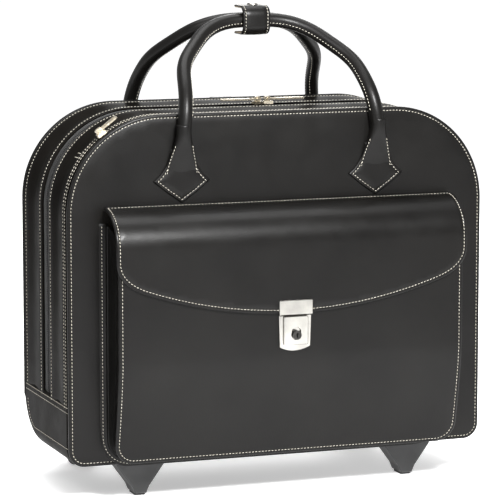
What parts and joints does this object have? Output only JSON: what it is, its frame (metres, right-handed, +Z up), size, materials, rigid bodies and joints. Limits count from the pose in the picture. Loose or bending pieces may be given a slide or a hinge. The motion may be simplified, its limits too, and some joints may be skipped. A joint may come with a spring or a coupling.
{
  "type": "rolling laptop case",
  "caption": "Structured leather laptop case with arched zips, a locking front flap pocket, rolled top handles, a telescopic handle, front feet and rear wheels.",
  "frame": {"origin": "on the floor, under the centre of the case's bounding box", "axes": "+Z up, the front with the flap pocket faces -Y, +X is the case's right as seen from the front"},
  "size_m": [0.432, 0.246, 0.4749],
  "materials": {
    "leather": "smooth black hide, semi-gloss, cream stitching",
    "board": "stiff fibre board, hidden",
    "lining": "tan woven lining",
    "zip_tape": "black woven zip tape with a black coil",
    "black_plastic": "moulded black plastic, fine texture",
    "button_plastic": "smooth black plastic",
    "rubber_pad": "matt black rubber",
    "wheel_rubber": "matt black rubber",
    "tube_metal": "satin dark anodised",
    "steel": "plain steel",
    "nickel": "polished nickel plate",
    "zip_metal": "polished light nickel, slightly warm"
  },
  "bodies": {
    "case": {"back_panel": "leather", "back_board": "board", "rear_gusset": "leather", "main_zip_rear_half": "zip_tape", "base_gusset": "leather", "base_board": "board", "laptop_sleeve": "lining", "front_feet": "black_plastic", "foot_pads": "rubber_pad", "foot_screws": "steel", "wheel_housings": "black_plastic", "wheel_axles": "steel", "kick_plate": "black_plastic", "trolley_outer_tubes": "tube_metal", "trolley_bezel": "black_plastic", "trolley_bracket": "black_plastic", "trolley_cover": "leather", "rear_tabs": "leather"},
    "middle_shell": {"middle_gusset": "leather", "main_zip_front_half": "zip_tape", "front_zip_rear_half": "zip_tape", "padded_divider": "lining", "organiser_pocket": "lining"},
    "front_shell": {"front_panel": "leather", "front_board": "board", "front_zip_front_half": "zip_tape", "pocket_front": "leather", "pocket_gusset": "leather", "lock_body": "nickel", "lock_backing_plate": "steel", "front_tabs": "leather"},
    "flap": {"flap": "leather", "hasp_plate": "nickel"},
    "lock_thumb": {"lock_thumb_plate": "nickel"},
    "key": {"key_cylinder": "nickel"},
    "front_handle": {"front_rolled_handle": "leather", "handle_wrap": "leather", "snap_cap": "nickel"},
    "rear_handle": {"rear_rolled_handle": "leather"},
    "trolley_lower": {"trolley_lower_tubes": "tube_metal"},
    "trolley_upper": {"trolley_upper_tubes": "tube_metal", "trolley_grip": "black_plastic"},
    "grip_button": {"grip_button": "button_plastic"},
    "left_wheel": {"left_tyre": "wheel_rubber", "left_hub": "black_plastic"},
    "right_wheel": {"right_tyre": "wheel_rubber", "right_hub": "black_plastic"},
    "main_slider_left": {"main_slider_left": "zip_metal"},
    "main_pull_left": {"main_pull_left": "zip_metal"},
    "main_slider_right": {"main_slider_right": "zip_metal"},
    "main_pull_right": {"main_pull_right": "zip_metal"},
    "front_slider": {"front_slider": "zip_metal"},
    "front_pull": {"front_pull": "zip_metal"}
  },
  "joints": [
    {"name": "middle_shell_opens", "type": "hinge", "parent": "case", "child": "middle_shell", "pos_m": [0, -0.068, 0.034], "axis": [1, 0, 0], "range_deg": [0, 12]},
    {"name": "front_shell_opens", "type": "hinge", "parent": "middle_shell", "child": "front_shell", "pos_m": [0, -0.068, 0.034], "axis": [1, 0, 0], "range_deg": [0, 25]},
    {"name": "flap_lifts", "type": "hinge", "parent": "front_shell", "child": "flap", "pos_m": [0, -0.0762, 0.2846], "axis": [1, 0, 0], "range_deg": [-74, 0]},
    {"name": "lock_thumb_slides", "type": "slide", "parent": "front_shell", "child": "lock_thumb", "axis": [0, 0, 1], "range_m": [-0.003, 0], "stiffness_N_per_m": 300, "springref_m": 0.003},
    {"name": "key_turns", "type": "hinge", "parent": "front_shell", "child": "key", "pos_m": [0, -0.118, 0.16], "axis": [0, 1, 0], "range_deg": [0, 90]},
    {"name": "front_handle_swings", "type": "hinge", "parent": "front_shell", "child": "front_handle", "pos_m": [0, -0.0805, 0.346], "axis": [1, 0, 0], "range_deg": [0, 95]},
    {"name": "rear_handle_swings", "type": "hinge", "parent": "case", "child": "rear_handle", "pos_m": [0, 0.0965, 0.346], "axis": [1, 0, 0], "range_deg": [-95, 0]},
    {"name": "trolley_lower_slides", "type": "slide", "parent": "case", "child": "trolley_lower", "axis": [0, 0, 1], "range_m": [0, 0.24]},
    {"name": "trolley_upper_slides", "type": "slide", "parent": "trolley_lower", "child": "trolley_upper", "axis": [0, 0, 1], "range_m": [0, 0.24]},
    {"name": "grip_button_presses", "type": "slide", "parent": "trolley_upper", "child": "grip_button", "axis": [0, 0, 1], "range_m": [-0.002, 0], "stiffness_N_per_m": 500, "springref_m": 0.003},
    {"name": "left_wheel_rolls", "type": "hinge", "parent": "case", "child": "left_wheel", "pos_m": [-0.1525, 0.098, 0.025], "axis": [1, 0, 0], "continuous": true},
    {"name": "right_wheel_rolls", "type": "hinge", "parent": "case", "child": "right_wheel", "pos_m": [0.1525, 0.098, 0.025], "axis": [1, 0, 0], "continuous": true},
    {"name": "main_slider_left_runs", "type": "slide", "parent": "case", "child": "main_slider_left", "axis": [-1, 0, 0], "range_m": [0, 0.11]},
    {"name": "main_pull_left_lifts", "type": "hinge", "parent": "main_slider_left", "child": "main_pull_left", "pos_m": [0.0067, 0.008, 0.3784], "axis": [0, 1, 0], "range_deg": [0, 80]},
    {"name": "main_slider_right_runs", "type": "slide", "parent": "case", "child": "main_slider_right", "axis": [1, 0, 0], "range_m": [0, 0.09]},
    {"name": "main_pull_right_lifts", "type": "hinge", "parent": "main_slider_right", "child": "main_pull_right", "pos_m": [0.0173, 0.008, 0.3784], "axis": [0, -1, 0], "range_deg": [0, 80]},
    {"name": "front_slider_runs", "type": "hinge", "parent": "middle_shell", "child": "front_slider", "pos_m": [-0.121, -0.0654, 0.279], "axis": [0, 1, 0], "range_deg": [-30, 30]},
    {"name": "front_pull_lifts", "type": "hinge", "parent": "front_slider", "child": "front_pull", "pos_m": [-0.18178, -0.0654, 0.35966], "axis": [0, -1, 0], "range_deg": [0, 80]}
  ]
}
